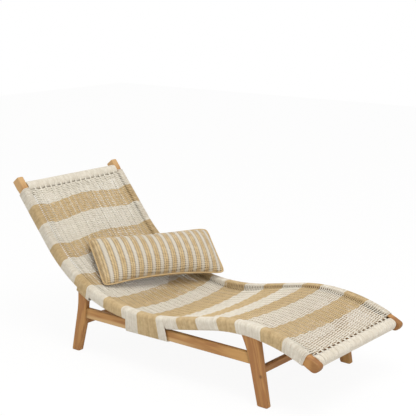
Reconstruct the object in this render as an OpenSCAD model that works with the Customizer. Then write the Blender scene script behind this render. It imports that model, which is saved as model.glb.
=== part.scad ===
// Sun lounger: curved teak side rails on four legs, slung with a striped woven panel, and a loose lumbar cushion

/* [Side rails] */
// Width across the two bare side rails
frame_w = 652; // [580:2:740]
// Thickness of a side rail
rail_w = 33; // [28:1:40]
// Depth of a side rail at the head end
rail_head_h = 45; // [38:1:52]
// Depth of a side rail over the seat
rail_seat_h = 41; // [36:1:48]
// Depth of a side rail at the foot end
rail_foot_h = 47; // [42:1:54]
// Rounding along the edges of a side rail
rail_round = 9; // [5:0.5:13]
// Rounding of the head end of a rail, seen from the side
head_round = 8; // [4:1:12]
// Rounding of the foot end of a rail, seen from the side
nose_round = 20; // [12:1:20]

/* [Curve of the side rails] */
// Slope of the straight top of the back, in degrees
back_slope = 51; // [46:0.5:55]
// Length of the straight top of the back
back_run = 340; // [280:5:380]
// Length of the bend from the back into the seat
seat_bend = 450; // [400:5:500]
// Turn of that bend, in degrees
seat_turn = 39.5; // [36:0.5:42]
// Length of the bend under the thighs
thigh_bend = 370; // [340:5:420]
// Turn of that bend, in degrees
thigh_turn = 22.9; // [20:0.1:25]
// Length of the straight rise to the knees
thigh_run = 200; // [180:5:230]
// Length of the bend over the knees, down to the foot end
knee_bend = 529; // [500:1:560]
// Turn of that bend, in degrees
knee_turn = 40.5; // [37:0.5:43]

/* [Splice of the side rails] */
// Distance along the rail, from the head end, at which its two lengths meet
splice_at = 500; // [470:5:530]
// Diameter of the splice dowels
dowel_d = 10; // [8:1:11]
// Length of the splice dowels
dowel_len = 60; // [40:2:80]
// Spacing of the two dowels of a splice
dowel_gap = 18; // [15:1:20]

/* [Legs] */
// Thickness of a leg
leg_t = 28; // [24:1:32]
// Rounding of the edges of a leg
leg_round = 7; // [4:0.5:9]
// Distance along the rail of the rear leg's head
rear_leg_at = 617; // [605:1:635]
// Width of the rear leg at the floor
rear_foot_w = 42; // [36:1:50]
// How far the rear foot stands behind the leg's head
rear_splay = 53; // [45:1:60]
// How far the rear shin leans forward up to the bend
rear_rake = 45; // [38:1:50]
// Height of the bend in the rear leg's back edge
rear_bend_back = 215; // [200:1:225]
// Height of the bend in the rear leg's front edge
rear_bend_front = 162; // [150:1:175]
// Slope of the rear leg above its bend
rear_head_lean = 0.05; // [0:0.01:0.1]
// Spread of the rear leg's front edge under the rail
rear_flare = 7; // [3:1:12]
// Height over which a bend in the rear leg runs out, up and down
rear_bend_reach = 30; // [15:1:40]
// Distance along the rail of the front leg's head
front_leg_at = 1549; // [1535:1:1565]
// Width of the front leg at the floor
front_foot_w = 48; // [40:1:56]
// Width of the front leg under the rail
front_head_w = 82; // [74:1:90]
// How far the front foot stands ahead of the leg's head
front_splay = 65; // [55:1:75]
// Spread of the front leg's back edge under the rail
front_flare = 17; // [8:1:24]

/* [Stretchers] */
// Height of the underside of a side stretcher
side_str_z = 163; // [150:1:170]
// Height of a side stretcher's section
side_str_h = 46; // [38:1:52]
// Thickness of a side stretcher
side_str_t = 24; // [20:1:28]
// Height of the middle of the cross stretchers
cross_str_z = 140; // [128:1:142]
// Height of a cross stretcher's section
cross_str_h = 30; // [24:1:34]
// Thickness of a cross stretcher
cross_str_t = 23; // [18:1:28]
// Rounding of the stretchers' edges
str_round = 5; // [2:0.5:8]

/* [End bars] */
// Side of an end bar's square section
bar_w = 36; // [32:1:38]
// Rounding of an end bar's edges
bar_round = 12; // [6:1:15]
// Distance of the head bar from the head end, along the rail
head_bar_at = 50; // [46:1:56]
// Distance of the foot bar from the foot end, along the rail
foot_bar_at = 45; // [43:1:50]

/* [Joinery] */
// Thickness of every tenon
tenon_t = 12; // [9:1:14]
// Depth of every tenon in its mortise
tenon_len = 22; // [14:1:24]
// Shoulder left above and below a tenon
shoulder = 6; // [4:1:8]
// Room round a tenon or a dowel
fit = 0.2; // [0.1:0.05:0.4]

/* [Woven cord] */
// Thickness of the cord wound round the rails and bars
wrap_t = 5.5; // [4:0.25:7]
// Room between a wound cord and the wood, or the next piece
wrap_fit = 0.5; // [0.4:0.05:0.7]
// Thickness of the woven panel
panel_t = 9; // [6:0.5:10]
// Distance of the wound cord from the head end
wrap_head = 58; // [54:1:70]
// Distance of the wound cord from the foot end
wrap_foot = 70; // [69:1:90]
// Drop of the cord over the head of the rear leg
apron = 15; // [8:1:20]
// Half the length of that drop, along the rail
apron_half = 36; // [32:1:44]
// Start of the stretch where rail and side stretcher are wound together
lash_start = 887; // [880:1:930]
// End of that stretch
lash_end = 1116; // [1060:1:1130]

/* [Stripes] */
// Start and end of each tan stripe, along the rail from the head end
tan_stripes = [[155, 252], [366, 453], [555, 637], [746, 858], [945, 1050], [1163, 1270], [1380, 1470], [1600, 1704]];

/* [Sag of the panel] */
// Sag at both ends of the panel
sag_end = 8; // [4:1:12]
// Sag in the back
sag_back = 12; // [8:1:24]
// Sag in the seat
sag_seat = 48; // [30:1:56]
// Sag over the knees
sag_knee = 26; // [16:1:36]
// Distance along the rail of the deepest sag
sag_at = 990; // [950:5:1030]
// Length over which the panel rises again to the foot bar
sag_run_out = 60; // [40:5:90]

/* [Cushion] */
// Length of the cushion along its long seam
cushion_len = 594; // [560:2:620]
// Height of the cushion across its short seam
cushion_h = 257; // [240:1:280]
// Crown of the cushion's face
face_crown = 74; // [60:1:80]
// Crown of the cushion's back, which bellies into the panel
back_crown = 89; // [70:1:89]
// How far the long sides are drawn in between the corners
pull_long = 9; // [2:1:16]
// How far the short sides are drawn in between the corners
pull_short = 6; // [2:1:12]
// Thickness of the cover's cloth
cloth_t = 2; // [1.5:0.25:3]
// Diameter of the piping in the seam
piping_d = 6; // [5:0.5:8]
// Place of the cushion's middle, ahead of the rails' middle
cushion_x = -320; // [-330:1:-312]
// Place of the cushion's middle, left of the middle of the lounger
cushion_y = 83; // [70:1:95]
// Height of the cushion's middle
cushion_z = 379; // [379:0.5:420]
// Turn of the cushion seen from above, in degrees
cushion_turn = -23; // [-27:0.5:-19]
// Rise of the cushion's short seams, in degrees
cushion_lean = 41; // [38:0.5:45]
// Fall of the cushion's length towards the left rail, in degrees
cushion_fall = 2; // [0:0.5:4]

/* [Hidden] */

teak = "#A9764A";
cream = "#DCD5C6";
tan_cord = "#C9AE80";
cushion_tan = "#D2B583";
filling = "#F2F0EA";

left = 1;
right = -1;
rear = 0;
front = 1;
corner_steps = 2;
pin_facets = 32;
str_steps = 4;
crown_power = 1.1;
ring_step = 48;
leg_rings = 14;
flare_from = 170;
// How far a leg's blank runs up past the middle of its head, before the rail's outline cuts it
leg_spare = 20;
overlap = 8;

// Runs of the rail's centre line: length and turn
runs = [
    [back_run, 0], [seat_bend, seat_turn], [thigh_bend, thigh_turn], [thigh_run, 0], [knee_bend, -knee_turn]
];
rail_len = back_run + seat_bend + thigh_bend + thigh_run + knee_bend;
level_at = back_run + seat_bend;

function square_of(x) = x * x;
function mix_of(a, b, t) = a + (b - a) * t;
function smooth(t) = t * t * (3 - 2 * t);

// Step of length d from a heading, along a straight or an arc of so many degrees a millimetre
function step_of(d, heading, rate) =
    rate == 0
        ? d * [cos(heading), sin(heading)]
        : 180 / PI / rate * [sin(heading + rate * d) - sin(heading), cos(heading) - cos(heading + rate * d)];

// Place and heading on the centre line at distance s, before it is set on the stretchers
function walk(s, i = 0, start = [0, 0], heading = -back_slope) =
    let (rate = runs[i][1] / runs[i][0])
    s <= runs[i][0] || i == len(runs) - 1
        ? concat(start + step_of(s, heading, rate), heading + rate * s)
        : walk(s - runs[i][0], i + 1, start + step_of(runs[i][0], heading, rate), heading + runs[i][1]);

// Depth of the rail's wood at distance s
function rail_h(s) =
    lookup(s, [[0, rail_head_h], [level_at, rail_seat_h], [level_at + thigh_bend, rail_seat_h], [rail_len, rail_foot_h]]);

// Shared stations along the rail: the ends and every multiple of the step between them
function stations(a, b) =
    concat([a], [for (i = [floor(a / ring_step) + 1 : ceil(b / ring_step) - 1]) i * ring_step], [b]);
function grid_down(s) = floor(s / ring_step) * ring_step;
function grid_up(s) = ceil(s / ring_step) * ring_step;

// How much the section shrinks towards a rounded end
function end_cut(s) =
    s < head_round ? head_round - sqrt(square_of(head_round) - square_of(head_round - s))
    : s > rail_len - nose_round
        ? nose_round - sqrt(max(0, square_of(nose_round) - square_of(s - rail_len + nose_round)))
        : 0;

end_angles = [0, 30, 60];
head_stations = [for (a = end_angles) head_round * (1 - cos(a))];
nose_stations = [for (a = end_angles) rail_len - nose_round * (1 - cos(a))];

// The rail's lowest underside between the legs rests on the side stretchers
side_str_top = side_str_z + side_str_h;
raw_under = [for (s = stations(grid_up(rear_leg_at), grid_down(front_leg_at)))
    let (w = walk(s)) w[1] - rail_h(s) / 2 * cos(w[2])];
rail_lift = side_str_top - min(raw_under);

// The origin lies under the middle of the whole, in length
function raw_x(s, n) = let (w = walk(s)) w[0] - n * sin(w[2]);
head_reach = min([for (s = concat(head_stations, [head_round])) raw_x(s, end_cut(s) - rail_h(s) / 2)]);
nose_reach = max([for (s = nose_stations) for (k = [-1, 1]) raw_x(s, k * (rail_h(s) / 2 - end_cut(s)))]);
mid_x = (head_reach + nose_reach) / 2;

function rail_point(s, n = 0) =
    let (w = walk(s))
    [w[0] - mid_x - n * sin(w[2]), w[1] + rail_lift + n * cos(w[2])];
function rail_heading(s) = walk(s)[2];
function on_rail(s, y, n) = let (p = rail_point(s, n)) [p[0], y, p[1]];

// Side faces of the parts across the lounger
rail_y = (frame_w - rail_w) / 2;
rail_inner = frame_w / 2 - rail_w;
leg_y = (frame_w - leg_t) / 2;
leg_inner = frame_w / 2 - leg_t;
side_str_y = leg_inner + side_str_t / 2;
wrap_round = rail_round + wrap_t;
bar_wrap_w = bar_w + 2 * wrap_t;
foot_bar_s = rail_len - foot_bar_at;
wrap_end = rail_len - wrap_foot;
panel_start = head_bar_at + bar_wrap_w / 2 + wrap_fit;
panel_end = foot_bar_s - bar_wrap_w / 2 - wrap_fit;

// Rounded rectangle between two heights, anticlockwise
function ring_2d(half, top, bottom, r) =
    let (middles = [[half - r, top - r], [r - half, top - r], [r - half, bottom + r], [half - r, bottom + r]])
    [for (k = [0 : 3]) for (j = [0 : corner_steps]) let (a = 90 * (k + j / corner_steps)) middles[k] + r * [cos(a), sin(a)]];
function bar_2d(w, h, r) = ring_2d(w / 2, h / 2, -h / 2, r);

// Two triangles for the quad a, b, c, d
function split(a, b, c, d) = [[a, b, c], [a, c, d]];

// Side triangles between rings of n points, from the ring numbered first in the point list
function skin(rings, n, first = 0, flip = false) =
    [for (i = [0 : rings - 2]) for (j = [0 : n - 1])
        let (
            a = first + i * n + j,
            b = first + (i + 1) * n + j,
            c = first + (i + 1) * n + (j + 1) % n,
            d = first + i * n + (j + 1) % n
        )
        for (t = flip ? split(a, d, c, b) : split(a, b, c, d)) t];
function fan(n, first, flip) =
    [for (j = [1 : n - 2]) flip ? [first, first + j + 1, first + j] : [first, first + j, first + j + 1]];

// Solid through a list of rings, each with n points
module loft(rings) {
    n = len(rings[0]);
    count = len(rings);
    polyhedron(
        points = [for (ring = rings) for (p = ring) p],
        faces = concat(skin(count, n), fan(n, 0, false), fan(n, (count - 1) * n, true))
    );
}

// Open tube between outer and inner rings
module sleeve(outer, inner) {
    n = len(outer[0]);
    count = len(outer);
    inside = count * n;
    last = (count - 1) * n;
    caps = [for (j = [0 : n - 1])
        let (k = (j + 1) % n)
        for (t = concat(split(j, k, inside + k, inside + j), split(last + k, last + j, inside + last + j, inside + last + k))) t];
    polyhedron(
        points = concat([for (ring = outer) for (p = ring) p], [for (ring = inner) for (p = ring) p]),
        faces = concat(skin(count, n), skin(count, n, inside, true), caps)
    );
}

// Moves a piece drawn about the lounger's middle plane into the part's frame
module in_frame() translate([0, -mid_y, 0]) children();

// Draws along Y a section whose own axes lie along and across the rail
module across(s, y_from, y_to, n = 0)
    let (p = rail_point(s, n))
    translate([p[0], y_from, p[1]])
        rotate([0, -rail_heading(s), 0])
            rotate([-90, 0, 0])
                linear_extrude(y_to - y_from) children();

// Side rail wood

function wood_ring(s, side) =
    let (
        cut = end_cut(s),
        h = rail_h(s) / 2 - cut,
        w = rail_w / 2 - cut / 4,
        r = min(rail_round, 0.98 * h)
    )
    [for (p = ring_2d(w, h, -h, r)) on_rail(s, side * rail_y + p[0], p[1])];

function wood_stations(a, b) =
    concat(
        a == 0 ? head_stations : [],
        stations(a == 0 ? head_round : a, b == rail_len ? rail_len - nose_round : b),
        b == rail_len ? [for (i = [len(nose_stations) - 1 : -1 : 0]) nose_stations[i]] : []
    );

module rail_wood(side, a, b) loft([for (s = wood_stations(a, b)) wood_ring(s, side)]);

// Holes for the two splice dowels, or the dowels themselves
module splice_pins(side, d, length)
    let (p = rail_point(splice_at))
    for (k = [-1, 1])
        translate([p[0], side * rail_y, p[1]])
            rotate([0, 90 - rail_heading(splice_at), 0])
                translate([k * dowel_gap / 2, 0, -length / 2]) cylinder(d = d, h = length, $fn = pin_facets);

// Tenon on the inner face of a rail for an end bar, grown by room on every side
module bar_tenon(s, side, room)
    across(s, side > 0 ? rail_inner - overlap - room : -rail_inner - tenon_len - room,
        side > 0 ? rail_inner + tenon_len + room : overlap - rail_inner + room)
        square([tenon_t + 2 * room, bar_w - 2 * shoulder + 2 * room], center = true);

// Tenon from a leg's head up into the rail, grown by room on every side
module leg_tenon(which, side, room) {
    length = leg_head_w(which) - 2 * shoulder;
    p = leg_head(which);
    translate([p[0], side * leg_y, p[1]])
        rotate([0, -rail_heading(leg_at(which)), 0])
            translate([-length / 2 - room, -tenon_t / 2 - room, -overlap - room])
                cube([length + 2 * room, tenon_t + 2 * room, overlap + tenon_len + 2 * room]);
}

module back_rail(side)
    color(teak) in_frame() difference() {
        rail_wood(side, 0, splice_at);
        splice_pins(side, dowel_d + 2 * fit, dowel_len + 2 * fit);
        bar_tenon(head_bar_at, side, fit);
    }

module seat_rail(side)
    color(teak) in_frame() difference() {
        rail_wood(side, splice_at, rail_len);
        splice_pins(side, dowel_d + 2 * fit, dowel_len + 2 * fit);
        bar_tenon(foot_bar_s, side, fit);
        leg_tenon(rear, side, fit);
        leg_tenon(front, side, fit);
    }

module back_rail_left() back_rail(left);
module back_rail_right() back_rail(right);
module seat_rail_left() seat_rail(left);
module seat_rail_right() seat_rail(right);

module splice_dowels()
    color(teak) in_frame() for (side = [left, right]) splice_pins(side, dowel_d, dowel_len);

// Legs

function leg_at(which) = which == rear ? rear_leg_at : front_leg_at;
// Middle of a leg's head, on the rail's underside
function leg_head(which) = let (s = leg_at(which)) rail_point(s, -rail_h(s) / 2);
function leg_top(which) = leg_head(which)[1];
function leg_head_w(which) = leg_front(which, leg_top(which)) - leg_back(which, leg_top(which));

// Height above a bend, eased in and out over its reach
function eased(z) =
    z < -rear_bend_reach ? 0 : z > rear_bend_reach ? z : square_of(z + rear_bend_reach) / (4 * rear_bend_reach);
function spread(which, z) =
    square_of(max(0, (z - flare_from) / (leg_top(which) - flare_from)));

// Place of a bent edge of the rear leg at height z
function bent_edge(foot_x, bend_z, z) =
    foot_x + rear_rake * z / bend_z + (rear_head_lean - rear_rake / bend_z) * eased(z - bend_z);

function leg_back(which, z) =
    let (x = leg_head(which)[0])
    which == rear
        ? bent_edge(x - rear_splay - rear_foot_w / 2, rear_bend_back, z)
        : mix_of(x + front_splay - front_foot_w / 2, x - front_head_w / 2 + front_flare, z / leg_top(which))
            - front_flare * spread(which, z);
function leg_front(which, z) =
    let (x = leg_head(which)[0])
    which == rear
        ? bent_edge(x - rear_splay + rear_foot_w / 2, rear_bend_front, z) + rear_flare * spread(which, z)
        : mix_of(x + front_splay + front_foot_w / 2, x + front_head_w / 2, z / leg_top(which));
function leg_mid(which, z) = (leg_back(which, z) + leg_front(which, z)) / 2;

function leg_ring(which, side, z) =
    [for (p = bar_2d(leg_front(which, z) - leg_back(which, z), leg_t, leg_round)) [leg_mid(which, z) + p[0], side * leg_y + p[1], z]];

function leg_levels(which) = [for (i = [0 : leg_rings]) (leg_top(which) + leg_spare) * i / leg_rings];
module leg_blank(which, side) loft([for (z = leg_levels(which)) leg_ring(which, side, z)]);

// Square-edged outline of a leg, grown by room, for what is cut to pass it
module leg_slot(which, side, room) {
    levels = leg_levels(which);
    back = [for (z = levels) [leg_back(which, z) - room, z]];
    face = [for (i = [leg_rings : -1 : 0]) [leg_front(which, levels[i]) + room, levels[i]]];
    translate([0, side * leg_y + leg_t / 2 + room, 0]) rotate([90, 0, 0])
        linear_extrude(leg_t + 2 * room) polygon(concat(back, face));
}

// Everything above the rail's underside, near a leg
module above_rail(which) {
    s = leg_at(which);
    under = [for (t = stations(grid_down(s - 2 * ring_step), grid_up(s + 2 * ring_step))) rail_point(t, -rail_h(t) / 2)];
    lift = [0, 2 * rail_head_h];
    translate([0, frame_w, 0]) rotate([90, 0, 0]) linear_extrude(2 * frame_w)
        polygon(concat(under, [under[len(under) - 1] + lift, under[0] + lift]));
}

module side_tenon(which, side, room) {
    z = side_str_z + shoulder;
    edge = which == rear ? leg_front(rear, side_str_z) : leg_back(front, side_str_z);
    from_x = which == rear ? edge - tenon_len : edge - overlap;
    translate([from_x - room, side * side_str_y - tenon_t / 2 - room, z - room])
        cube([tenon_len + overlap + 2 * room, tenon_t + 2 * room, side_str_h - 2 * shoulder + 2 * room]);
}

module cross_tenon(which, side, room) {
    x = leg_mid(which, cross_str_z);
    from_y = side > 0 ? leg_inner - overlap : -leg_inner - tenon_len / 2;
    translate([x - tenon_t / 2 - room, from_y - room, cross_str_z - cross_str_h / 2 + shoulder - room])
        cube([tenon_t + 2 * room, tenon_len / 2 + overlap + 2 * room, cross_str_h - 2 * shoulder + 2 * room]);
}

module leg(which, side)
    color(teak) in_frame() difference() {
        union() {
            difference() {
                leg_blank(which, side);
                above_rail(which);
            }
            leg_tenon(which, side, 0);
        }
        side_tenon(which, side, fit);
        cross_tenon(which, side, fit);
    }

module rear_leg_left() leg(rear, left);
module rear_leg_right() leg(rear, right);
module front_leg_left() leg(front, left);
module front_leg_right() leg(front, right);

// Stretchers

module side_stretcher(side) {
    levels = [for (i = [0 : str_steps]) side_str_z + side_str_h * i / str_steps];
    outline = concat(
        [for (i = [0 : str_steps]) [leg_front(rear, levels[i]) + fit, levels[i]]],
        [for (i = [str_steps : -1 : 0]) [leg_back(front, levels[i]) - fit, levels[i]]]
    );
    start = leg_back(rear, 0);
    color(teak) in_frame() union() {
        intersection() {
            translate([0, side * side_str_y + side_str_t, 0]) rotate([90, 0, 0])
                linear_extrude(2 * side_str_t) polygon(outline);
            translate([start, side * side_str_y, side_str_z + side_str_h / 2]) rotate([90, 0, 90])
                linear_extrude(leg_front(front, 0) - start) polygon(bar_2d(side_str_t, side_str_h, str_round));
        }
        side_tenon(rear, side, 0);
        side_tenon(front, side, 0);
    }
}

module cross_stretcher(which)
    color(teak) in_frame() union() {
        translate([leg_mid(which, cross_str_z), leg_inner, cross_str_z]) rotate([90, 0, 0])
            linear_extrude(2 * leg_inner) polygon(bar_2d(cross_str_t, cross_str_h, str_round));
        cross_tenon(which, left, 0);
        cross_tenon(which, right, 0);
    }

module side_stretcher_left() side_stretcher(left);
module side_stretcher_right() side_stretcher(right);
module rear_cross_stretcher() cross_stretcher(rear);
module front_cross_stretcher() cross_stretcher(front);

// End bars

module end_bar(s)
    color(teak) in_frame() union() {
        across(s, -rail_inner, rail_inner) polygon(bar_2d(bar_w, bar_w, bar_round));
        bar_tenon(s, left, 0);
        bar_tenon(s, right, 0);
    }

module end_bar_wrap(s)
    color(cream) in_frame() across(s, wrap_fit - rail_inner, rail_inner - wrap_fit)
        difference() {
            polygon(bar_2d(bar_wrap_w, bar_wrap_w, bar_round + wrap_t));
            polygon(bar_2d(bar_w + 2 * wrap_fit, bar_w + 2 * wrap_fit, bar_round + wrap_fit));
        }

module head_bar() end_bar(head_bar_at);
module foot_bar() end_bar(foot_bar_s);
module head_bar_wrap() end_bar_wrap(head_bar_at);
module foot_bar_wrap() end_bar_wrap(foot_bar_s);

// Cord wound round the side rails

// Kinds of winding: round the rail, over the rear leg's head, and round rail and stretcher together
plain = 0;
draped = 1;
lashed = 2;

function wrap_ring(s, side, grow, kind, drop) =
    let (
        p = rail_point(s),
        h = rail_h(s) / 2 + grow,
        low = kind == lashed ? (side_str_z - p[1]) / cos(rail_heading(s)) - grow : -h - drop
    )
    [for (q = ring_2d(rail_w / 2 + grow, h, low, rail_round + grow)) on_rail(s, side * rail_y + q[0], q[1])];

// What the winding leaves free: a leg, the end bar's wrap or the side stretcher
module wrap_cut(side, kind, a, b) {
    if (b > rear_leg_at - 2 * apron_half && a < rear_leg_at + 2 * apron_half) leg_slot(rear, side, wrap_fit);
    if (b > front_leg_at - front_head_w && a < front_leg_at + front_head_w) leg_slot(front, side, wrap_fit);
    if (a < head_bar_at + bar_wrap_w)
        across(head_bar_at, -rail_inner - wrap_fit, rail_inner + wrap_fit)
            square(bar_wrap_w + 2 * wrap_fit, center = true);
    if (kind != lashed && abs(a + b - lash_start - lash_end) < 2 * (lash_end - lash_start))
        translate([0, side * side_str_y, side_str_z + side_str_h / 2])
            cube([frame_w, side_str_t + 2 * wrap_fit, side_str_h + 2 * wrap_fit], center = true);
}

// The runs of one kind from a to b, cut where the kind of winding changes
wrap_marks = [rear_leg_at - apron_half, rear_leg_at + apron_half, lash_start, lash_end];
function marks_in(a, b) = concat([a], [for (m = wrap_marks) if (m > a && m < b) m], [b]);
function kind_at(s) =
    s > lash_start && s < lash_end ? lashed
    : abs(s - rear_leg_at) < apron_half ? draped : plain;

module winding(side, a, b) {
    marks = marks_in(a, b);
    for (i = [0 : len(marks) - 2]) {
        from_s = marks[i] + wrap_fit / 4;
        to_s = marks[i + 1] - wrap_fit / 4;
        kind = kind_at((from_s + to_s) / 2);
        line = stations(from_s, to_s);
        drop = kind == draped ? apron : 0;
        difference() {
            sleeve(
                [for (s = line) wrap_ring(s, side, wrap_t, kind, drop)],
                [for (s = line) wrap_ring(s, side, wrap_fit, kind, 0)]
            );
            wrap_cut(side, kind, from_s, to_s);
        }
    }
}

// The cream stretches lie before, between and after the tan ones
stripe_count = len(tan_stripes);
function cream_stripes(first, last) =
    [for (i = [0 : stripe_count]) [
        i == 0 ? first : tan_stripes[i - 1][1],
        i == stripe_count ? last : tan_stripes[i][0]
    ]];

module rail_wrap_tan(side)
    color(tan_cord) in_frame() for (t = tan_stripes) winding(side, t[0], t[1]);

module rail_wrap_cream(side)
    color(cream) in_frame() for (t = cream_stripes(wrap_head, wrap_end)) winding(side, t[0], t[1]);

module rail_wrap_tan_left() rail_wrap_tan(left);
module rail_wrap_tan_right() rail_wrap_tan(right);
module rail_wrap_cream_left() rail_wrap_cream(left);
module rail_wrap_cream_right() rail_wrap_cream(right);

// Woven panel

// The panel's edge is a chamfer that lies on the rounded inner corner of the rail's winding
panel_steps = 8;
corner_y = rail_inner - wrap_t + wrap_round;
panel_half = corner_y - wrap_round * tan(22.5) - wrap_fit * sqrt(2);

sag_marks = [
    [panel_start, sag_end], [back_run, sag_back], [sag_at, sag_seat],
    [level_at + thigh_bend + thigh_run, sag_knee], [panel_end - sag_run_out, sag_knee], [panel_end, sag_end]
];
function sag_of(s, i = 0) =
    s <= sag_marks[i + 1][0] || i == len(sag_marks) - 2
        ? mix_of(sag_marks[i][1], sag_marks[i + 1][1],
            smooth((s - sag_marks[i][0]) / (sag_marks[i + 1][0] - sag_marks[i][0])))
        : sag_of(s, i + 1);

function panel_n(s, y) = rail_h(s) / 2 + wrap_t - sag_of(s) * (1 - square_of(y / panel_half));
function panel_row(s, half, below) =
    [for (i = [0 : panel_steps]) let (t = 2 * i / panel_steps - 1) on_rail(s, t * half, panel_n(s, t * panel_half) - below)];

module panel_band(a, b) {
    line = stations(a, b);
    n = panel_steps + 1;
    count = len(line);
    top = 0;
    base = count * n;
    last = (count - 1) * n;
    points = concat(
        [for (s = line) for (p = panel_row(s, panel_half, 0)) p],
        [for (s = line) for (p = panel_row(s, panel_half - panel_t, panel_t)) p]
    );
    sheets = [for (i = [0 : count - 2]) for (j = [0 : n - 2])
        let (a = i * n + j, b = a + 1, c = a + n + 1, d = a + n)
        for (t = concat(split(top + a, top + b, top + c, top + d), split(base + a, base + d, base + c, base + b))) t];
    edges = [for (i = [0 : count - 2])
        let (a = i * n, d = a + n, b = a + n - 1, c = d + n - 1)
        for (t = concat(split(a, d, base + d, base + a), split(b, base + b, base + c, c))) t];
    ends = [for (j = [0 : n - 2])
        for (t = concat(split(j, base + j, base + j + 1, j + 1),
            split(last + j, last + j + 1, base + last + j + 1, base + last + j))) t];
    polyhedron(points = points, faces = concat(sheets, edges, ends));
}

module panel_tan()
    color(tan_cord) in_frame() for (t = tan_stripes) panel_band(t[0] + fit / 2, t[1] - fit / 2);

module panel_cream()
    color(cream) in_frame() for (t = cream_stripes(panel_start, panel_end)) panel_band(t[0], t[1]);

// Cushion

cushion_cols = 14;
cushion_rows = 8;
seam_room = 0.15;
insert_room = 0.4;
insert_share = 0.985;

// Angles of the grid, which runs finer towards the seam
function grid_angle(i, count) = 180 * i / count - 90;
function crown_of(a, b) = pow(cos(a) * cos(b), crown_power);
function cushion_xy(a, b) =
    [
        sin(a) * (cushion_h / 2 - pull_long * square_of(cos(b))),
        sin(b) * (cushion_len / 2 - pull_short * square_of(cos(a)))
    ];

// Grid of points of one face: a share of the outline, a crown, and a height at the seam
function cushion_grid(share, crown, lift) =
    [for (i = [0 : cushion_cols]) for (j = [0 : cushion_rows])
        let (
            a = grid_angle(j, cushion_rows),
            b = grid_angle(i, cushion_cols),
            p = share * cushion_xy(a, b)
        )
        [p[0], p[1], lift + crown * crown_of(a, b)]];

rim_n = cushion_rows + 1;
// Numbers of the grid's points round the seam, anticlockwise seen along its height
rim = concat(
    [for (j = [0 : cushion_rows - 1]) j],
    [for (i = [0 : cushion_cols - 1]) i * rim_n + cushion_rows],
    [for (j = [cushion_rows : -1 : 1]) cushion_cols * rim_n + j],
    [for (i = [cushion_cols : -1 : 1]) i * rim_n]
);

// Closed solid between an upper and a lower grid, whose lower facets may be split the other way
module between(upper, lower, crossed = false) {
    base = len(upper);
    count = len(rim);
    sheets = [for (i = [0 : cushion_cols - 1]) for (j = [0 : cushion_rows - 1])
        let (a = i * rim_n + j, b = a + rim_n, c = b + 1, d = a + 1)
        for (t = concat(
            split(a, b, c, d),
            crossed ? split(base + d, base + c, base + b, base + a) : split(base + a, base + d, base + c, base + b)
        )) t];
    edges = [for (k = [0 : count - 1])
        let (a = rim[k], b = rim[(k + 1) % count])
        for (t = split(a, b, base + b, base + a)) t];
    polyhedron(points = concat(upper, lower), faces = concat(sheets, edges));
}

module on_cushion()
    translate([cushion_x, cushion_y, cushion_z])
        rotate([0, 0, cushion_turn]) rotate([-cushion_fall, 0, 0]) rotate([0, cushion_lean, 0]) children();

module cushion_cover(crown)
    between(
        cushion_grid(1, crown - cloth_t, seam_room + cloth_t),
        cushion_grid(1, crown - cloth_t, seam_room)
    );

module cushion_face() color(cushion_tan) in_frame() on_cushion() cushion_cover(face_crown);
module cushion_back() color(cushion_tan) in_frame() on_cushion() rotate([0, 180, 0]) cushion_cover(back_crown);

function insert_grid(crown) = cushion_grid(insert_share, crown - cloth_t - insert_room, seam_room / 2);
module cushion_insert()
    color(filling) in_frame() on_cushion()
        between(insert_grid(face_crown), [for (p = insert_grid(back_crown)) [p[0], p[1], -p[2]]], true);

// The piping follows the seam, just outside it
rim_points = [for (k = rim) let (i = floor(k / rim_n), j = k % rim_n)
    cushion_xy(grid_angle(j, cushion_rows), grid_angle(i, cushion_cols))];
rim_count = len(rim_points);
function outward(k) =
    let (
        p = rim_points[(k + rim_count - 1) % rim_count],
        q = rim_points[k],
        r = rim_points[(k + 1) % rim_count],
        e = (q - p) / norm(q - p),
        f = (r - q) / norm(r - q),
        m = [e[1] + f[1], -(e[0] + f[0])]
    )
    m / (m * [f[1], -f[0]]);
piping_sides = 6;
piping_rings = [for (k = [0 : rim_count - 1])
    let (out = outward(k))
    [for (j = [0 : piping_sides - 1])
        let (a = 360 * j / piping_sides, q = rim_points[k] + out * (piping_d / 2 + seam_room + piping_d / 2 * cos(a)))
        [q[0], q[1], piping_d / 2 * sin(a)]]];

module cushion_piping() {
    n = piping_sides;
    faces = [for (k = [0 : rim_count - 1]) for (j = [0 : n - 1])
        let (
            m = (k + 1) % rim_count,
            a = k * n + j,
            b = m * n + j,
            c = m * n + (j + 1) % n,
            d = k * n + (j + 1) % n
        )
        for (t = split(a, d, c, b)) t];
    color(cushion_tan) in_frame() on_cushion()
        polyhedron(points = [for (ring = piping_rings) for (p = ring) p], faces = faces);
}

// The cushion hangs over the left rail, so the middle of the whole lies a little to the left
function cushion_reach(p) =
    let (
        x = p[0] * cos(cushion_lean) + p[2] * sin(cushion_lean),
        z = p[2] * cos(cushion_lean) - p[0] * sin(cushion_lean),
        y = p[1] * cos(cushion_fall) + z * sin(cushion_fall)
    )
    cushion_y + x * sin(cushion_turn) + y * cos(cushion_turn);
wrap_reach = frame_w / 2 + wrap_t;
reach_left = max([for (ring = piping_rings) for (p = ring) cushion_reach(p)]);
mid_y = (max(wrap_reach, reach_left) - wrap_reach) / 2;

back_rail_left();
back_rail_right();
seat_rail_left();
seat_rail_right();
splice_dowels();
rear_leg_left();
rear_leg_right();
front_leg_left();
front_leg_right();
side_stretcher_left();
side_stretcher_right();
rear_cross_stretcher();
front_cross_stretcher();
head_bar();
foot_bar();
head_bar_wrap();
foot_bar_wrap();
rail_wrap_tan_left();
rail_wrap_tan_right();
rail_wrap_cream_left();
rail_wrap_cream_right();
panel_tan();
panel_cream();
cushion_face();
cushion_back();
cushion_piping();
cushion_insert();
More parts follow.
